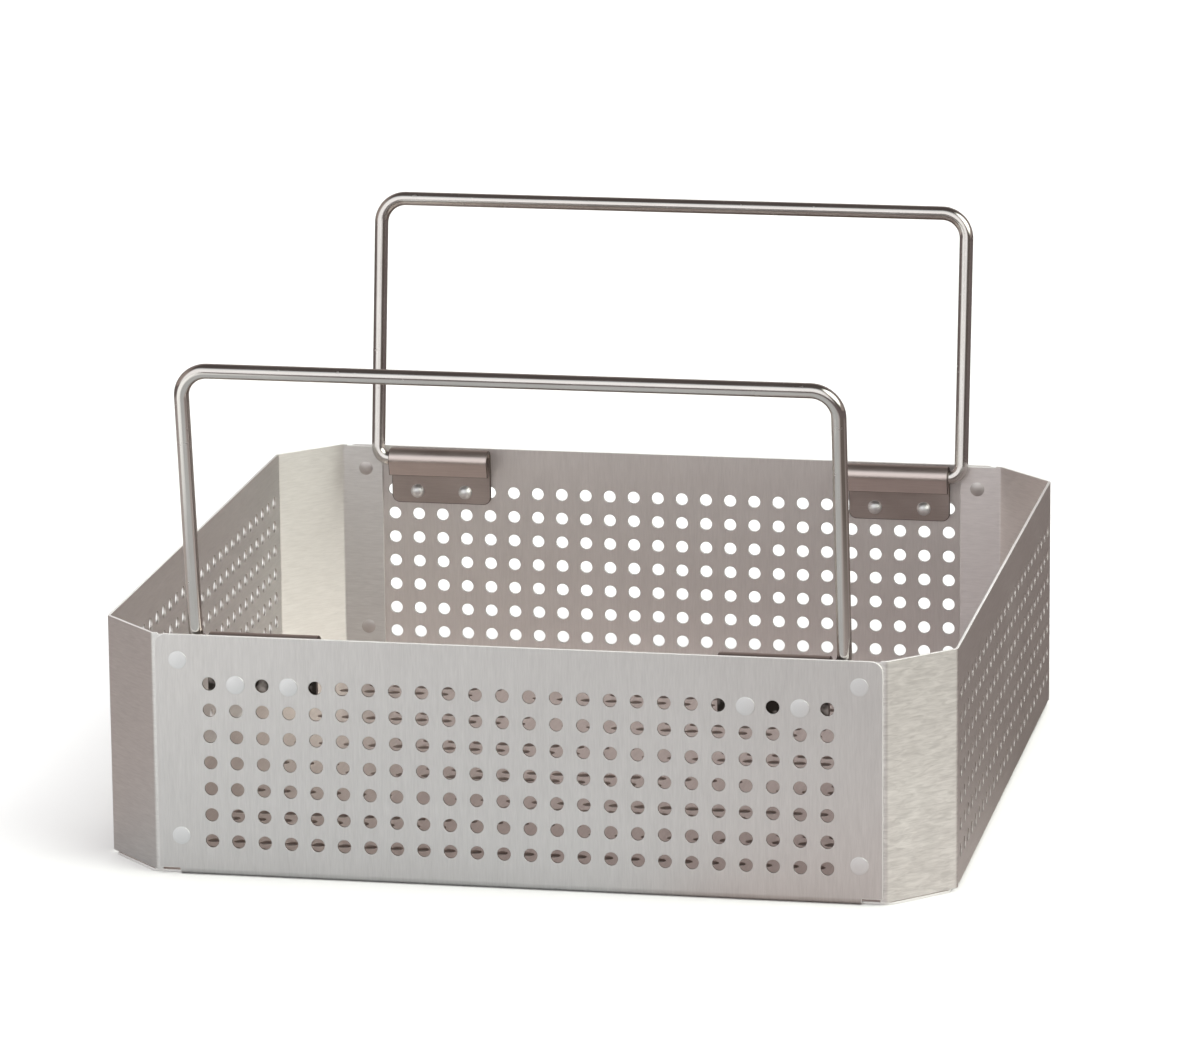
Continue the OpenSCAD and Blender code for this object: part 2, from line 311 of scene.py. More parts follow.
def drawn_wire():
    """Polished drawn wire: faint lines along its length and small nicks from use."""
    material, tree = new_material("drawn_wire")
    blank = add(tree, "UVMap", uv_map="blank").outputs[0]
    place = add(tree, "TexCoord").outputs["Object"]
    lines = noise(tree, stretched(tree, blank, (2400, 60, 1)), detail=3.0)
    cloud = noise(tree, place, 55.0, 3.0, 0.6)
    nick = spread(tree, noise(tree, place, 420.0, 2.0), 0.68, 0.74, 0.0, 1.0)
    tone = math_node(tree, "ADD", spread(tree, lines, 0.3, 0.7, 0.0, 0.6),
                     spread(tree, cloud, 0.3, 0.7, 0.0, 0.4))
    colour = mix_colour(tree, tone, (0.60, 0.575, 0.555), (0.72, 0.70, 0.68))
    roughness = math_node(tree, "ADD", spread(tree, cloud, 0.3, 0.7, 0.13, 0.2),
                          math_node(tree, "MULTIPLY", nick, 0.15))
    height = math_node(tree, "SUBTRACT", lines, math_node(tree, "MULTIPLY", nick, 1.5))
    finish_metal(tree, colour, roughness, height, 0.004 * MM, 0.3, "blank")
    return material


def pressed_rivet(name, low, high):
    """Rivet steel with faint rings from the setting tool."""
    material, tree = new_material(name)
    blank = add(tree, "UVMap", uv_map="blank").outputs[0]
    place = add(tree, "TexCoord").outputs["Object"]
    rings = noise(tree, stretched(tree, blank, (9, 4200, 1)), detail=2.0)
    cloud = noise(tree, place, 500.0, 3.0)
    colour = mix_colour(tree, rings, low, high)
    roughness = spread(tree, cloud, 0.3, 0.7, 0.42, 0.54)
    height = math_node(tree, "ADD", rings, math_node(tree, "MULTIPLY", cloud, 0.8))
    finish_metal(tree, colour, roughness, height, 0.006 * MM)
    return material


# ---------------------------------------------------------------- sheet builder

def inset_loop(points, bevels):
    """Points moved in from the edges, and the outward direction at each, for a closed loop that
    has the material on its left. bevels gives each edge's inset."""
    points = np.array(points, float)
    edge = np.roll(points, -1, axis=0) - points
    out = np.stack([edge[:, 1], -edge[:, 0]], axis=1) / np.linalg.norm(edge, axis=1)[:, None]
    moved, direction = [], []
    for k in range(len(points)):
        a, b, ca, cb = out[k - 1], out[k], bevels[k - 1], bevels[k]
        if abs(a[0] * b[1] - a[1] * b[0]) < 1e-4:
            shift = b * min(ca, cb)
        else:
            shift = np.linalg.solve(np.array([a, b]), np.array([ca, cb]))
        moved.append(points[k] - shift)
        direction.append((a + b) / np.linalg.norm(a + b))
    return np.array(moved), np.array(direction)


def inside(points, loop):
    """Which points lie inside a closed loop."""
    x, y = points[:, 0], points[:, 1]
    found = np.zeros(len(points), bool)
    for (x0, y0), (x1, y1) in zip(loop, np.roll(loop, -1, axis=0)):
        if y0 != y1:
            crosses = (y0 > y) != (y1 > y)
            found ^= crosses & (x < x0 + (y - y0) * (x1 - x0) / (y1 - y0))
    return found


class Pattern:
    """A flat pattern: points, faces, and the free edges with what they need to be rounded over."""

    def __init__(self):
        self.points, self.index, self.faces = [], {}, []
        self.true, self.out, self.depth, self.edges = {}, {}, {}, []

    def point(self, uv):
        key = (round(uv[0] * 1e7), round(uv[1] * 1e7))
        if key not in self.index:
            self.index[key] = len(self.points)
            self.points.append((float(uv[0]), float(uv[1])))
        return self.index[key]

    def loop(self, points, bevels, look=1):
        """Adds a boundary loop and returns its points as the flat faces see them. look is the
        material of the edge that it bounds: 1 for a sheared edge, 2 for the wall of a punched
        hole, whose rounded rims keep the look of the sheet."""
        moved, direction = inset_loop(points, bevels)
        ids = [self.point(p) for p in moved]
        for k, i in enumerate(ids):
            self.true[i] = tuple(points[k])
            self.out[i] = tuple(direction[k])
            self.depth[i] = max(bevels[k - 1], bevels[k])
            self.edges.append((i, ids[(k + 1) % len(ids)], look))
        return moved

    def circle(self, centre, radius, bevel, sides=HOLE_SIDES):
        turn = 2 * math.pi / sides
        points = [(centre[0] + radius * math.cos(math.pi / 4 - k * turn),
                   centre[1] + radius * math.sin(math.pi / 4 - k * turn)) for k in range(sides)]
        return self.loop(points, [bevel] * sides, look=2)

    def grid(self, columns, rows, first, bevel):
        """Square cells with a round hole in each. Returns the loop round all of them."""
        side = HOLE_SIDES // 4
        step = PITCH / side
        for i in range(columns):
            for j in range(rows):
                c = (first[0] + i * PITCH, first[1] + j * PITCH)
                ring = [self.point(p) for p in self.circle(c, HOLE_R, bevel)]
                x0, y0 = c[0] - PITCH / 2, c[1] - PITCH / 2
                square = [(x0 + PITCH, y0 + PITCH - k * step) for k in range(side)]
                square += [(x0 + PITCH - k * step, y0) for k in range(side)]
                square += [(x0, y0 + k * step) for k in range(side)]
                square += [(x0 + k * step, y0 + PITCH) for k in range(side)]
                box = [self.point(p) for p in square]
                for k in range(HOLE_SIDES):
                    n = (k + 1) % HOLE_SIDES
                    self.faces.append((ring[k], box[k], box[n], ring[n])[::-1])
        x0, y0 = first[0] - PITCH / 2, first[1] - PITCH / 2
        across, up = columns * side, rows * side
        rim = [(x0 + k * step, y0) for k in range(across)]
        rim += [(x0 + columns * PITCH, y0 + k * step) for k in range(up)]
        rim += [(x0 + (across - k) * step, y0 + rows * PITCH) for k in range(across)]
        rim += [(x0, y0 + (up - k) * step) for k in range(up)]
        return np.array(rim)

    def fill(self, outline, holes, lines=()):
        """Triangles between the outline and the holes, kept to the given lines."""
        loops = [outline, *holes]
        points, edges = [], []
        for loop in loops:
            start = len(points)
            points += [tuple(p) for p in loop]
            edges += [(start + k, start + (k + 1) % len(loop)) for k in range(len(loop))]
        for line in lines:
            edges.append((len(points), len(points) + 1))
            points += [tuple(p) for p in line]
        made = delaunay_2d_cdt([Vector(p) for p in points], edges, [], 0, 1e-8, False)
        corners = np.array([tuple(p) for p in made[0]])
        triangles = np.array(made[2])
        middles = corners[triangles].mean(axis=1)
        kept = inside(middles, np.array(outline))
        for loop in holes:
            kept &= ~inside(middles, np.array(loop))
        ids = [self.point(p) for p in corners]
        for face in triangles[kept]:
            a, b, c = corners[face]
            turn = (b[0] - a[0]) * (c[1] - a[1]) - (b[1] - a[1]) * (c[0] - a[0])
            order = face if turn > 0 else face[::-1]
            self.faces.append(tuple(ids[k] for k in order))


def tidy_face(face):
    """A face without repeated corners, or None if fewer than three are left."""
    kept = [v for k, v in enumerate(face) if v != face[k - 1]]
    return tuple(kept) if len(kept) > 2 else None


def fold(pattern, place, blank, thickness):
    """The pattern as a solid sheet: place maps its points and a depth into space, and blank gives
    their position across and along the brushing."""
    uv = np.array(pattern.points)
    count = len(uv)
    outer = place(uv[:, 0], uv[:, 1], np.zeros(count))
    inner = place(uv[:, 0], uv[:, 1], np.full(count, thickness))
    normal = (outer - inner) / thickness
    ids = np.array(sorted(pattern.true))
    true = np.array([pattern.true[i] for i in ids])
    out = np.array([pattern.out[i] for i in ids])
    depth = np.array([pattern.depth[i] for i in ids])
    top = place(true[:, 0], true[:, 1], depth)
    bottom = place(true[:, 0], true[:, 1], thickness - depth)
    tiny = 1e-5
    beyond = place(true[:, 0] + out[:, 0] * tiny, true[:, 1] + out[:, 1] * tiny, depth)
    side = beyond - top
    side /= np.linalg.norm(side, axis=1)[:, None]

    points = np.concatenate([outer, inner, top, bottom])
    normals = np.concatenate([normal, -normal, side, side])
    maps = np.stack(blank(*np.concatenate([uv, uv, true, true]).T), axis=1)
    rim_at = {i: 2 * count + k for k, i in enumerate(ids)}

    def column(i):
        """The points through the thickness at a boundary point, outer to inner."""
        if pattern.depth[i] == 0:
            return [i, i, i + count, i + count]
        return [i, rim_at[i], rim_at[i] + len(ids), i + count]

    faces = [tuple(f) for f in pattern.faces] + [tuple(i + count for i in f[::-1]) for f in pattern.faces]
    looks = [0] * len(faces)
    for a, b, look in pattern.edges:
        ca, cb = column(a), column(b)
        for k in range(3):
            face = tidy_face((ca[k], ca[k + 1], cb[k + 1], cb[k]))
            if face:
                faces.append(face)
                looks.append(0 if look == 2 and k != 1 else look)
    return points, normals, maps, outward_faces(points, normals, faces, 0), looks


def compact(points, normals, maps, faces):
    """The same mesh without points that no face uses."""
    used = sorted({v for f in faces for v in f})
    new = {old: k for k, old in enumerate(used)}
    return points[used], normals[used], maps[used], [tuple(new[v] for v in f) for f in faces]


def outward_faces(points, normals, faces, sample):
    """The faces, all turned over if the sample face looks against its normals."""
    a, b, c = (points[v] for v in faces[sample][:3])
    if np.dot(np.cross(b - a, c - b), normals[faces[sample][0]]) < 0:
        return [f[::-1] for f in faces]
    return faces


def make_piece(name, node, slot, body, points, normals, maps, faces, materials, looks=None):
    """A mesh object that rides on body and stands for the CAD node. looks gives each face's
    material."""
    points, normals, maps, faces = compact(points, normals, maps, faces)
    mesh = bpy.data.meshes.new(name)
    mesh.from_pydata(points.tolist(), [], faces)
    for material in materials:
        mesh.materials.append(material)
    if looks:
        mesh.polygons.foreach_set("material_index", looks)
    corner = np.empty(len(mesh.loops), np.int32)
    mesh.loops.foreach_get("vertex_index", corner)
    layer = mesh.uv_layers.new(name="blank")
    layer.data.foreach_set("uv", maps[corner].astype(np.float32).ravel())
    mesh.normals_split_custom_set_from_vertices(normals.tolist())
    mesh.update()
    piece = bpy.data.objects.new(name, mesh)
    bpy.context.scene.collection.objects.link(piece)
    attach(piece, body)
    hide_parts(node)
    return piece


def moved(place, matrix):
    """The same placing with a turn or mirror applied after it."""
    turn = np.array(matrix)[:3, :3]
    return lambda u, v, depth: place(u, v, depth) @ turn.T


def mirror(x=1, y=1):
    return Matrix.Diagonal((x, y, 1, 1))


def arc_points(centre, radius, start, stop, steps):
    """Points along an arc, from angle start to stop in degrees."""
    angles = np.radians(np.linspace(start, stop, steps + 1))
    return [(centre[0] + radius * math.cos(a), centre[1] + radius * math.sin(a)) for a in angles]


def bevels_for(outline, joined, bevel):
    """Each edge's bevel: none where the sheet runs on into its neighbour."""
    result = []
    for k, a in enumerate(outline):
        b = outline[(k + 1) % len(outline)]
        middle = ((a[0] + b[0]) / 2, (a[1] + b[1]) / 2)
        result.append(0.0 if joined(*middle) else bevel)
    return result


# ---------------------------------------------------------------- the pan

def floor_panel(materials):
    """The octagonal floor; its underside is the outer face."""
    x, y = HALF_W - BEND_R, HALF_D - BEND_R
    end_bend, side_bend = END_HALF - END_RELIEF, SIDE_HALF - SIDE_RELIEF
    cut_x, cut_y = PANEL_SUM - y, PANEL_SUM - x
    quarter = [(x, side_bend), (x, cut_y), (cut_x, y), (end_bend, y)]
    outline = quarter + [(-u, v) for u, v in quarter[::-1]]
    outline += [(-u, -v) for u, v in quarter] + [(u, -v) for u, v in quarter[::-1]]

    def joined(u, v):
        return (abs(u) > x - NEAR and abs(v) < side_bend) or (abs(v) > y - NEAR and abs(u) < end_bend)

    pattern = Pattern()
    edge = pattern.loop(outline, bevels_for(outline, joined, SHEET_BEVEL))
    first = -(SIDE_COLUMNS - 1) / 2 * PITCH
    cells = pattern.grid(SIDE_COLUMNS, SIDE_COLUMNS, (first, first), SHEET_BEVEL)
    pattern.fill(edge, [cells])
    solid = fold(pattern, lambda u, v, d: np.stack([u, v, d + 0 * u], axis=1), lambda u, v: (u, v), SHEET_T)
    make_piece("floor_grille", "floor_panel", "sheet", "tray", *solid[:4], materials, solid[4])


def wall_place(reach):
    """Placing of a wall at -Y that far out: v is 0 at the top of its bend."""
    def place(u, v, depth):
        angle = np.clip(-v / BEND_R, 0, math.pi / 2)
        radius = BEND_R - depth
        y = -(reach - BEND_R) - radius * np.cos(angle)
        z = BEND_R + np.maximum(v, 0) - radius * np.sin(angle)
        return np.stack([u, y, z], axis=1)
    return place


def wall_pattern(flat_half, bend_half, columns, corner_r, side_joined, rivet_holes):
    """A wall unrolled: its flat grille above v = 0 and its bend to the floor below."""
    top = RIM_Z - BEND_R
    levels = [-BEND_ARC * k / BEND_STEPS for k in range(BEND_STEPS + 1)]
    right = [(bend_half, v) for v in levels[::-1]]
    right.append((flat_half, 0))
    if corner_r:
        right += arc_points((flat_half - corner_r, top - corner_r), corner_r, 0, 90, ROUND_STEPS)
    else:
        right.append((flat_half, top))
    outline = right + [(-u, v) for u, v in right[::-1]]

    def joined(u, v):
        return v < levels[-1] + NEAR or (side_joined and abs(u) > flat_half - NEAR and v > 0)

    pattern = Pattern()
    edge = pattern.loop(outline, bevels_for(outline, joined, SHEET_BEVEL))
    first_z = TOP_ROW_Z - (WALL_ROWS - 1) * PITCH - BEND_R
    cells = pattern.grid(columns, WALL_ROWS, (-(columns - 1) / 2 * PITCH, first_z), SHEET_BEVEL)
    holes = [pattern.circle((side * CORNER_RIVET_X, z - BEND_R), CORNER_HOLE_R, SHEET_BEVEL)
             for side in (-1, 1) for z in CORNER_RIVET_Z] if rivet_holes else []
    count = len(right)
    lines = [(edge[k], edge[2 * count - 1 - k]) for k in range(1, BEND_STEPS + 1)]
    pattern.fill(edge, [cells, *holes], lines)
    return pattern


def end_wall(name, node, matrix, materials):
    pattern = wall_pattern(END_WALL_HALF, END_HALF - END_RELIEF, END_COLUMNS, RIM_CORNER_R, False, True)
    start = HALF_D - BEND_R + BEND_ARC

    def blank(u, v):
        return u, matrix[1][1] * -(start + v)

    solid = fold(pattern, moved(wall_place(HALF_D), matrix), blank, SHEET_T)
    make_piece(name, node, "sheet", "tray", *solid[:4], materials, solid[4])


def side_wall(name, node, matrix, materials):
    flat_half = SIDE_HALF - SETBACK
    pattern = wall_pattern(flat_half, SIDE_HALF - SIDE_RELIEF, SIDE_COLUMNS, 0, True, False)
    start = HALF_W - BEND_R + BEND_ARC

    def blank(u, v):
        return start + v, u

    turned = Matrix.Rotation(math.radians(90), 4, "Z")
    solid = fold(pattern, moved(wall_place(HALF_W), matrix @ turned), blank, SHEET_T)
    make_piece(name, node, "sheet", "tray", *solid[:4], materials, solid[4])


def corner_lengths():
    """Where the corner panel's first bend, flat and second bend end, along its outer face."""
    flat = (Vector((HALF_W - BEND_R, -SIDE_HALF + SETBACK))
            - Vector((LAP_START_X - SETBACK, -LAP_Y + BEND_R))).length
    return HALF_BEND_ARC, HALF_BEND_ARC + flat, 2 * HALF_BEND_ARC + flat


def corner_place(u, v, depth):
    """Placing of the corner panel at +X, -Y: u runs from the side wall to the end of the lap."""
    first, second, third = corner_lengths()
    side_c = (HALF_W - BEND_R, -SIDE_HALF + SETBACK)
    lap_c = (LAP_START_X - SETBACK, -LAP_Y + BEND_R)
    radius = BEND_R - depth
    half = math.sqrt(0.5)
    a = np.clip(u / BEND_R, 0, math.pi / 4)
    b = math.pi / 4 + np.clip((u - second) / BEND_R, 0, math.pi / 4)
    run = np.clip(u, first, second) - first
    lap = np.maximum(u - third, 0)
    on_side = u < (first + second) / 2
    x = np.where(on_side, side_c[0] + radius * np.cos(a) - half * run,
                 lap_c[0] + radius * np.cos(b) + half * (second - first - run) - lap)
    y = np.where(on_side, side_c[1] - radius * np.sin(a) - half * run,
                 lap_c[1] - radius * np.sin(b) + half * (second - first - run))
    return np.stack([x, y, v + 0 * u], axis=1)


def corner_pattern():
    first, second, third = corner_lengths()
    step = third + LAP_STEP
    end = third + LAP_START_X - SETBACK - LAP_END_X
    turn = [first * k / HALF_BEND_STEPS for k in range(HALF_BEND_STEPS + 1)]
    bends = turn + [second + u for u in turn]
    lower = [(u, PANEL_BASE_Z) for u in bends]
    lower += [(step, PANEL_BASE_Z), (step, LAP_BASE_Z), (end, LAP_BASE_Z)]
    lap_top = arc_points((end - LAP_CORNER_R, LAP_TOP_Z - LAP_CORNER_R),
                         LAP_CORNER_R, 0, 90, ROUND_STEPS)
    upper = [(step, LAP_TOP_Z), (step, RIM_Z)] + [(u, RIM_Z) for u in bends[::-1]]
    outline = lower + lap_top + upper + [(0, BEND_R)]

    def joined(u, v):
        return u < NEAR and v > BEND_R

    pattern = Pattern()
    edge = pattern.loop(outline, bevels_for(outline, joined, SHEET_BEVEL))
    rivet_u = third + LAP_START_X - SETBACK - CORNER_RIVET_X
    holes = [pattern.circle((rivet_u, z), CORNER_HOLE_R, SHEET_BEVEL) for z in CORNER_RIVET_Z]
    last = len(outline) - 2
    lines = [(edge[k], edge[last - k]) for k in range(1, len(bends))]
    pattern.fill(edge, holes, lines)
    return pattern


def corner_panel(name, node, matrix, materials):
    start = SIDE_HALF - SETBACK

    def blank(u, v):
        return HALF_W + v, start + u

    solid = fold(corner_pattern(), moved(corner_place, matrix), blank, SHEET_T)
    make_piece(name, node, "sheet", "tray", *solid[:4], materials, solid[4])


# ---------------------------------------------------------------- brackets

def bracket_place(centre_x):
    """Placing of a bracket on the front wall: v is height above the hinge axis on the flange, and
    then runs on round the rolled eye and down its lip."""
    def place(u, v, depth):
        angle = np.clip(v / EYE_R, 0, EYE_WRAP)
        run = np.maximum(v - EYE_R * EYE_WRAP, 0)
        radius = EYE_R - depth
        y = -(HALF_D - SHEET_T) + EYE_R - radius * np.cos(angle) + run * math.sin(EYE_WRAP)
        z = HINGE_Z + np.minimum(v, 0) + radius * np.sin(angle) + run * math.cos(EYE_WRAP)
        return np.stack([u + centre_x, y, z], axis=1)
    return place


def bracket_pattern():
    levels = [EYE_R * EYE_WRAP * k / EYE_STEPS for k in range(EYE_STEPS + 1)]
    levels.append(levels[-1] + LIP_L)
    foot = arc_points((BRACKET_HALF - BRACKET_CORNER_R, -BRACKET_DROP + BRACKET_CORNER_R),
                      BRACKET_CORNER_R, -90, 0, ROUND_STEPS)
    right = foot + [(BRACKET_HALF, v) for v in levels]
    outline = right + [(-u, v) for u, v in right[::-1]]
    pattern = Pattern()
    edge = pattern.loop(outline, [BRACKET_BEVEL] * len(outline))
    holes = [pattern.circle((side * PITCH, TOP_ROW_Z - HINGE_Z), HOLE_R, BRACKET_BEVEL) for side in (-1, 1)]
    count = len(right)
    lines = [(edge[k], edge[2 * count - 1 - k]) for k in range(len(foot), count - 1)]
    pattern.fill(edge, holes, lines)
    return pattern


def bracket(name, node, matrix, materials):
    """One bracket. Each takes another patch of the rolled sheet's pattern."""
    centre_x = (BRACKET_LO.x + BRACKET_HI.x) / 2
    place = moved(bracket_place(centre_x), matrix)
    solid = fold(bracket_pattern(), place, lambda u, v: (u + matrix[0][0], v + matrix[1][1]), BRACKET_T)
    make_piece(name, node, "bracket", "tray", *solid[:4], materials, solid[4])


# ---------------------------------------------------------------- handles

def handle_route(reach, leg_x):
    """Middle line of one handle in its own plane, from foot tip to foot tip."""
    foot_x = leg_x - FOOT_BEND_R
    half = [(foot_x - FOOT_L + FOOT_TIP, 0), (foot_x - FOOT_L / 2, 0)]
    half += arc_points((foot_x, FOOT_BEND_R), FOOT_BEND_R, -90, 0, 14)
    half += [(leg_x, reach * share) for share in (0.2, 0.35, 0.5, 0.65, 0.8)]
    half += arc_points((leg_x - GRIP_BEND_R, reach - GRIP_BEND_R), GRIP_BEND_R, 0, 90, 16)
    half += [(leg_x * share, reach) for share in (0.7, 0.45, 0.2)]
    return half + [(-x, z) for x, z in half[::-1]]


def wire_rings(route):
    """Centre, radius, section direction, normal lean and length along the wire for every ring,
    with small rounded tips."""
    points = np.array(route)
    ahead = np.zeros_like(points)
    ahead[1:-1] = points[2:] - points[:-2]
    ahead[0], ahead[-1] = points[1] - points[0], points[-1] - points[-2]
    ahead /= np.linalg.norm(ahead, axis=1)[:, None]
    along = np.concatenate([[0], np.cumsum(np.linalg.norm(np.diff(points, axis=0), axis=1))])
    rings = []
    for k in range(len(points)):
        rings.append((points[k], WIRE_R, ahead[k], 0.0, along[k]))
    steps = 4
    for end, sign in ((0, -1), (-1, 1)):
        for s in range(1, steps + 1):
            angle = math.pi / 2 * s / steps
            centre = points[end] + sign * ahead[end] * FOOT_TIP * math.sin(angle)
            radius = WIRE_R - FOOT_TIP * (1 - math.cos(angle))
            ring = (centre, radius, ahead[end], sign * angle, along[end] + sign * FOOT_TIP * angle)
            if sign < 0:
                rings.insert(0, ring)
            else:
                rings.append(ring)
    return rings


def handle(name, node, joint, outward, materials):
    """One wire handle, swept along its route and leaned as its CAD solid is."""
    lo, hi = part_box(node)
    hinge = Vector(joint["pos_m"])
    far_y = abs(lo.y if outward < 0 else hi.y)
    up = hi.z - hinge.z - WIRE_R
    lean_out = far_y - abs(hinge.y) - WIRE_R
    reach = math.hypot(up, lean_out)
    plane = np.array([[1, 0, 0], [0, outward * lean_out / reach, up / reach]])
    across = np.cross(plane[0], plane[1])
    rings = wire_rings(handle_route(reach, hi.x - WIRE_R))
    points, normals, maps = [], [], []
    for centre, radius, ahead, lean, along in rings:
        outwards = np.array([ahead[1], -ahead[0]])
        for k in range(WIRE_SIDES + 1):
            angle = 2 * math.pi * k / WIRE_SIDES
            side = math.cos(angle) * (outwards @ plane) + math.sin(angle) * across
            points.append(np.array(hinge) + centre @ plane + radius * side)
            normals.append(math.cos(lean) * side + math.sin(lean) * (ahead @ plane))
            maps.append((angle * WIRE_R, along))
    row = WIRE_SIDES + 1
    faces = []
    for r in range(len(rings) - 1):
        for k in range(WIRE_SIDES):
            a = r * row + k
            faces.append((a, a + row, a + row + 1, a + 1))
    faces.append(tuple(range(WIRE_SIDES)))
    last = (len(rings) - 1) * row
    faces.append(tuple(last + k for k in range(WIRE_SIDES))[::-1])
    points, normals = np.array(points), np.array(normals)
    faces = outward_faces(points, normals, faces, 0)
    make_piece(name, node, "wire", node, points, normals, np.array(maps), faces, materials)


# ---------------------------------------------------------------- rivets

def rivet_profile(lo_y, hi_y, head_r, shank_r, head_top, tail_base):
    """Radius, depth and normal angle down a rivet, from the middle of its head to the tip of its
    tail. Normal angle 0 faces outwards from the wall and 90 away from the rivet's axis."""
    tail_r = RIVET_TAIL_R
    edge = (head_top - lo_y) * 0.45
    crown = (head_top - lo_y) * 0.4
    flat_r = head_r - edge
    tilt = math.degrees(2 * crown / flat_r)
    profile = [(0, lo_y, 0)]
    for share in (0.25, 0.5, 0.75):
        profile.append((flat_r * share, lo_y + crown * share ** 2, tilt * share))
    for a in (0, 30, 60, 90):
        rad = math.radians(a)
        height = lo_y + crown + edge * (1 - math.cos(rad))
        profile.append((flat_r + edge * math.sin(rad), height, max(a, tilt)))
    profile += [(head_r, head_top, 90), (head_r, head_top, 180), (shank_r, head_top, 180)]
    profile += [(shank_r, head_top, 90), (shank_r, tail_base, 90), (shank_r, tail_base, 0)]
    profile += [(tail_r, tail_base, 0), (tail_r, tail_base, 100)]
    rise = hi_y - tail_base
    dome_r = (tail_r ** 2 + rise ** 2) / (2 * rise)
    spread_angle = math.asin(min(1.0, tail_r / dome_r))
    for k in range(9):
        a = spread_angle * (1 - k / 8)
        profile.append((dome_r * math.sin(a), hi_y - dome_r * (1 - math.cos(a)), 180 - math.degrees(a)))
    return profile


def rivet(name, node, matrix, shank_r, tail_base, materials):
    """A rivet turned from its profile at the place of its CAD solid, drawn as if in the front
    wall. materials are those of its head and of its tail."""
    sides = RIVET_SIDES
    lo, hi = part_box(node)
    x, z = (lo.x + hi.x) / 2, (lo.z + hi.z) / 2
    lo_y, hi_y = (lo.y, hi.y) if lo.y < 0 else (-hi.y, -lo.y)
    profile = rivet_profile(lo_y, hi_y, (hi.x - lo.x) / 2, shank_r, -HALF_D, tail_base)
    points, normals, maps = [], [], []
    for radius, y, degrees in profile:
        out, face = math.sin(math.radians(degrees)), -math.cos(math.radians(degrees))
        for k in range(sides):
            angle = 2 * math.pi * k / sides
            c, s = math.cos(angle), math.sin(angle)
            points.append((x + radius * c, y * matrix[1][1], z + radius * s))
            normals.append((out * c, face * matrix[1][1], out * s))
            maps.append((angle * MM, radius + abs(x) + z))
    faces, looks = [], []
    for r in range(len(profile) - 1):
        if 0 < r and profile[r][:2] == profile[r + 1][:2]:
            continue
        for k in range(sides):
            n = (k + 1) % sides
            a, b, c, d = r * sides + k, r * sides + n, (r + 1) * sides + n, (r + 1) * sides + k
            if r == 0:
                faces.append((0, c, d))
            elif r == len(profile) - 2:
                faces.append((a, b, (r + 1) * sides))
            else:
                faces.append((a, b, c, d))
            looks.append(0 if profile[r][1] < tail_base else 1)
    points, normals = np.array(points), np.array(normals)
    faces = outward_faces(points, normals, faces, sides)
    make_piece(name, node, "rivet", "tray", points, normals, np.array(maps), faces, materials, looks)


# ---------------------------------------------------------------- the whole tray

def corner_looks():
    """The sheet's look on each corner panel: the photograph's differ in evenness and tone."""
    calm = brushed_sheet("calm_corner", (0.71, 0.70, 0.69), (0.85, 0.84, 0.83), 1.3, 1.6)
    wavy = brushed_sheet("wavy_corner", (0.67, 0.655, 0.645), (0.87, 0.855, 0.845), 3.6, 1.6)
    # Painted light: the back right corner panel is a paler, warmer copy of the sheet.
    lit_corner = brushed_sheet("lit_back_right_corner", (0.81, 0.77, 0.765), (0.95, 0.91, 0.905), 1.3, 1.6)
    return {("front", "left"): calm, ("back", "left"): calm,
            ("front", "right"): wavy, ("back", "right"): lit_corner}


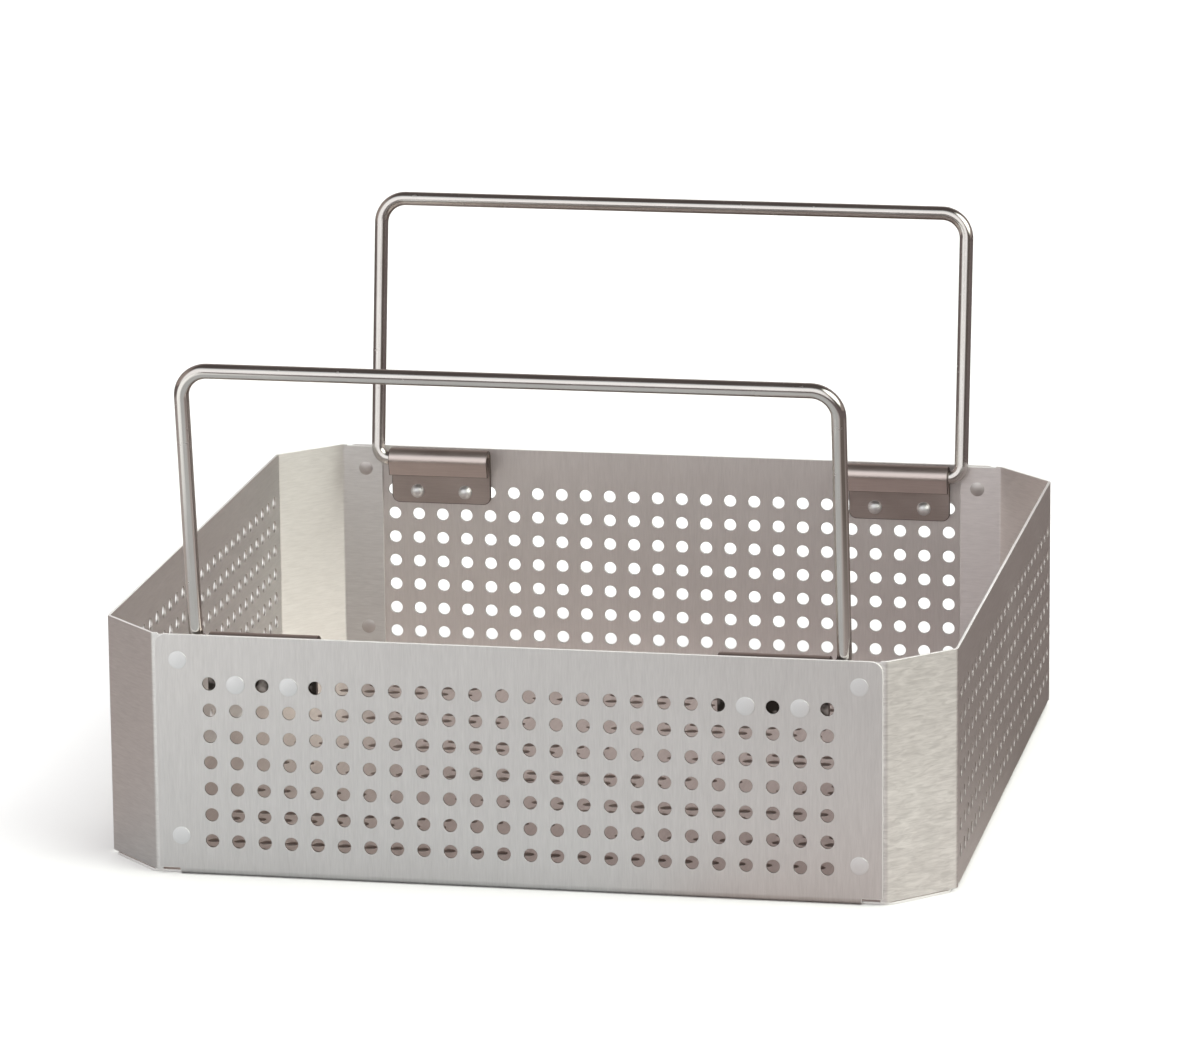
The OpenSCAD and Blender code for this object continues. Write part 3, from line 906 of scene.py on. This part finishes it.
def build_tray():
    """Every piece of the tray. A sheet's materials are its faces, its sheared edges and the walls
    of its punched holes."""
    # The sheared rims are near white with little metal, so they show as white lines: bare cut steel, with a
    # painted highlight.
    sheared = cut_edge("sheared_edge_and_highlight", (0.80, 0.79, 0.78), (0.92, 0.91, 0.90), 0.35)
    # Painted shade: the walls of punched holes and the brackets' cut edges are painted near black.
    punched = cut_edge("shaded_punched_edge", (0.15, 0.122, 0.113), (0.25, 0.215, 0.20), 1.0)
    # Painted shade: the floor's hole walls are a darker, browner copy of the hole wall.
    shaded_floor_hole = cut_edge("shaded_floor_hole_edge", (0.48, 0.40, 0.38), (0.60, 0.51, 0.48), 1.0)
    # Painted light: the side walls' hole walls are a paler copy of the hole wall.
    lit_side_hole = cut_edge("lit_side_hole_edge", (0.60, 0.56, 0.54), (0.76, 0.72, 0.70), 1.0)
    wall = brushed_sheet("brushed_wall", (0.735, 0.72, 0.715), (0.865, 0.85, 0.845), 1.0, 1.0)
    # Painted light: the back wall, whose inner face is seen inside the tray, is a paler copy of the wall
    # sheet.
    pale = brushed_sheet("lit_back_wall", (0.83, 0.80, 0.795), (0.955, 0.925, 0.92), 1.0, 1.0)
    # Painted shade: the floor inside the tray is a darker, browner copy of the wall sheet.
    shaded_floor_sheet = brushed_sheet("shaded_brushed_floor", (0.59, 0.51, 0.49), (0.72, 0.635, 0.61), 1.0, 1.0)
    bright = pressed_rivet("bright_rivet", (0.76, 0.765, 0.775), (0.88, 0.885, 0.895))
    dull = pressed_rivet("dull_rivet", (0.58, 0.55, 0.54), (0.69, 0.66, 0.65))
    thick = [plain_bracket(), punched, punched]
    wire = [drawn_wire()]
    corner_faces = corner_looks()
    end_faces = {"front": wall, "back": pale}
    ends = {"front": 1, "back": -1}
    sides = {"left": -1, "right": 1}
    joints = {j["child"]: j for j in frame["joints"]}
    on_bracket = -HALF_D + SHEET_T + BRACKET_T
    on_lap = -HALF_D + 2 * SHEET_T
    floor_panel([shaded_floor_sheet, sheared, shaded_floor_hole])
    for end, y in ends.items():
        end_wall(f"{end}_end_wall", f"{end}_wall", mirror(y=y), [end_faces[end], sheared, punched])
        handle(f"{end}_wire_handle", f"{end}_handle", joints[f"{end}_handle"], -y, wire)
        for side, x in sides.items():
            corner = mirror(x, y)
            corner_panel(f"{end}_{side}_corner_panel", f"{end}_{side}_corner", corner,
                         [corner_faces[end, side], sheared, punched])
            bracket(f"{end}_{side}_hinge_bracket", f"{end}_{side}_bracket", corner, thick)
            for place in ("outer", "inner"):
                rivet(f"{end}_{side}_{place}_bracket_rivet", f"{end}_{side}_{place}_rivet",
                      corner, BRACKET_SHANK_R, on_bracket, [bright, bright])
            for place in ("upper", "lower"):
                rivet(f"{end}_{side}_{place}_lap_rivet", f"{end}_{side}_{place}_corner_rivet",
                      corner, LAP_SHANK_R, on_lap, [bright, dull])
    for side, x in sides.items():
        side_wall(f"{side}_side_wall", f"{side}_wall", mirror(x=x), [wall, sheared, lit_side_hole])


# ---------------------------------------------------------------- studio

def mirrored_floor(tree, place):
    """What the metal mirrors of the floor: a grey studio floor, pale in front with a white strip
    on the left and a dark gap on the right, and dark farther off."""
    around = add(tree, "VectorMath", {0: place}, operation="NORMALIZE").outputs[0]
    away = add(tree, "VectorMath", {0: place}, operation="LENGTH").outputs["Value"]
    tone = mix_colour(tree, compass(tree, around, 150, 10, 100), FLOOR_SIDE, FLOOR_BACK)
    gap = math_node(tree, "MULTIPLY", compass(tree, around, GAP_AZIMUTH, 14, 30),
                    spread(tree, away, 0.24, 0.4, 0.0, 1.0))
    tone = mix_colour(tree, gap, tone, GAP_DARK)
    tone = mix_colour(tree, compass(tree, around, FRONT_AZIMUTH, 26, 46), tone, FLOOR_FRONT)
    tone = mix_colour(tree, spread(tree, away, 0.45, 0.62, 0.0, 1.0), tone, FLOOR_FAR)
    strip = math_node(tree, "MULTIPLY", compass(tree, around, STRIP_AZIMUTH, 12, 22),
                      spread(tree, away, 0.34, 0.46, 0.0, 1.0))
    return mix_colour(tree, strip, tone, FLOOR_STRIP)


def pale_floor():
    """Pale paper to the camera, with its own tones for what the metal mirrors, and a painted shadow under
    the tray, seen only through the tray's holes."""
    material, tree = new_material("pale_floor")
    place = add(tree, "TexCoord").outputs["Object"]
    colour = mix_colour(tree, noise(tree, place, 4.0, 3.0), (0.87, 0.87, 0.87), (0.89, 0.89, 0.89))
    glossy = add(tree, "LightPath").outputs["Is Glossy Ray"]
    shown = mix_colour(tree, glossy, colour, mirrored_floor(tree, place))
    axes = add(tree, "SeparateXYZ", {0: place})
    across = math_node(tree, "ABSOLUTE", axes.outputs[0])
    along = math_node(tree, "ABSOLUTE", axes.outputs[1])
    beyond = math_node(tree, "MAXIMUM", across, along)
    # Painted shadow: the floor under the tray's grid of holes is painted dark.
    under = spread(tree, beyond, GRID_HALF, GRID_HALF + 4 * MM, 1.0, 0.0)
    shown = mix_colour(tree, under, shown, PAINTED_SHADE_UNDER_TRAY)
    shader = add(tree, "BsdfDiffuse", {"Color": shown})
    output = add(tree, "OutputMaterial")
    tree.links.new(shader.outputs[0], output.inputs[0])
    return material


def stage_floor():
    line = np.linspace(-FLOOR_HALF, FLOOR_HALF, FLOOR_CELLS + 1)
    points = [(x, y, 0.0) for y in line for x in line]
    row = FLOOR_CELLS + 1
    faces = [(r * row + c, r * row + c + 1, (r + 1) * row + c + 1, (r + 1) * row + c)
             for r in range(FLOOR_CELLS) for c in range(FLOOR_CELLS)]
    mesh = bpy.data.meshes.new("studio_floor")
    mesh.from_pydata(points, [], faces)
    mesh.materials.append(pale_floor())
    floor = bpy.data.objects.new("studio_floor", mesh)
    bpy.context.scene.collection.objects.link(floor)
    floor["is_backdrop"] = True


def compass(tree, direction, azimuth, start, stop):
    """1 where a direction's bearing is within start degrees of the azimuth, 0 beyond stop degrees."""
    level = add(tree, "VectorMath", {0: stretched(tree, direction, (1, 1, 0))}, operation="NORMALIZE")
    return lobe(tree, level.outputs[0], azimuth, 0, start, stop)


def lobe(tree, direction, azimuth, elevation, start, stop):
    """A soft round patch of directions: 1 within start degrees of its middle, 0 beyond stop."""
    turn, rise = math.radians(azimuth), math.radians(elevation)
    toward = (math.sin(turn) * math.cos(rise), -math.cos(turn) * math.cos(rise), math.sin(rise))
    along = add(tree, "VectorMath", {0: direction, 1: toward}, operation="DOT_PRODUCT").outputs["Value"]
    return spread(tree, along, math.cos(math.radians(stop)), math.cos(math.radians(start)), 0.0, 1.0, True)


def plus_light(tree, base, share, colour):
    """The base colour with that share of a light added to it."""
    light = mix_colour(tree, share, (0, 0, 0), colour)
    total = add(tree, "Mix", {"Factor": 1.0, 6: base, 7: light}, data_type="RGBA", blend_type="ADD")
    return total.outputs[2]


def studio_world():
    """A warm grey studio: a tall pale light in front, a large pale soft box high on the right, a
    dark gap between them and a dark ceiling. The camera sees a pale wall."""
    world = bpy.data.worlds.new("studio")
    bpy.context.scene.world = world
    world.use_nodes = True
    tree = world.node_tree
    tree.nodes.clear()
    direction = add(tree, "TexCoord").outputs["Generated"]
    height = add(tree, "SeparateXYZ", {0: direction}).outputs[2]
    room = mix_colour(tree, spread(tree, height, 0.45, 0.85, 0.0, 1.0, True), ROOM_LOW, ROOM_HIGH)
    behind = math_node(tree, "MULTIPLY", spread(tree, height, 0.5, 0.8, 1.0, 0.0, True),
                       compass(tree, direction, 180, 60, 75))
    room = mix_colour(tree, behind, room, ROOM_BACK)
    gap = math_node(tree, "MULTIPLY", spread(tree, height, 0.2, 0.45, 1.0, 0.0, True),
                    compass(tree, direction, GAP_AZIMUTH, 14, 30))
    room = mix_colour(tree, gap, room, GAP_DARK)
    front = math_node(tree, "MULTIPLY", spread(tree, height, 0.66, 0.88, 1.0, 0.0, True),
                      compass(tree, direction, FRONT_AZIMUTH, 30, 54))
    room = plus_light(tree, room, front, FRONT_LIGHT)
    room = plus_light(tree, room, lobe(tree, direction, 76, 38, 14, 32), KEY_LIGHT)
    seen = add(tree, "LightPath").outputs["Is Camera Ray"]
    shown = mix_colour(tree, seen, room, (0.96, 0.96, 0.96))
    background = add(tree, "Background", {"Color": shown, "Strength": 1.0})
    output = add(tree, "OutputWorld")
    tree.links.new(background.outputs[0], output.inputs[0])


def studio_light():
    """A broad overhead soft box that lights the floor; the metal mirrors the studio without it."""
    light = bpy.data.lights.new("overhead_box", "AREA")
    light.shape = "RECTANGLE"
    light.size = LIGHT_SIZE
    light.size_y = LIGHT_SIZE
    light.energy = LIGHT_POWER
    light.color = (0.97, 0.99, 1.0)
    box = bpy.data.objects.new("overhead_box", light)
    bpy.context.scene.collection.objects.link(box)
    box.location = LIGHT_PLACE
    box.visible_camera = False
    box.visible_glossy = False


def camera():
    """The photograph's viewpoint, with a long lens, facing the middle of the tray."""
    lo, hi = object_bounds()
    target = (lo + hi) / 2
    a, e = math.radians(CAMERA_AZIMUTH), math.radians(CAMERA_ELEVATION)
    back = Vector((math.sin(a) * math.cos(e), -math.cos(a) * math.cos(e), math.sin(e)))
    data = bpy.data.cameras.new("camera")
    data.lens = CAMERA_LENS
    data.sensor_width = 36
    data.clip_start, data.clip_end = 0.05, 60
    eye = bpy.data.objects.new("camera", data)
    bpy.context.scene.collection.objects.link(eye)
    eye.location = target + back * CAMERA_DISTANCE
    turn = (-back).to_track_quat("-Z", "Y").to_matrix() @ Matrix.Rotation(math.radians(CAMERA_ROLL), 3, "Z")
    eye.rotation_euler = turn.to_euler()
    bpy.context.scene.camera = eye


build_tray()
camera()
stage_floor()
studio_world()
studio_light()
bpy.context.scene.view_settings.view_transform = "Standard"

bpy.context.view_layer.update()
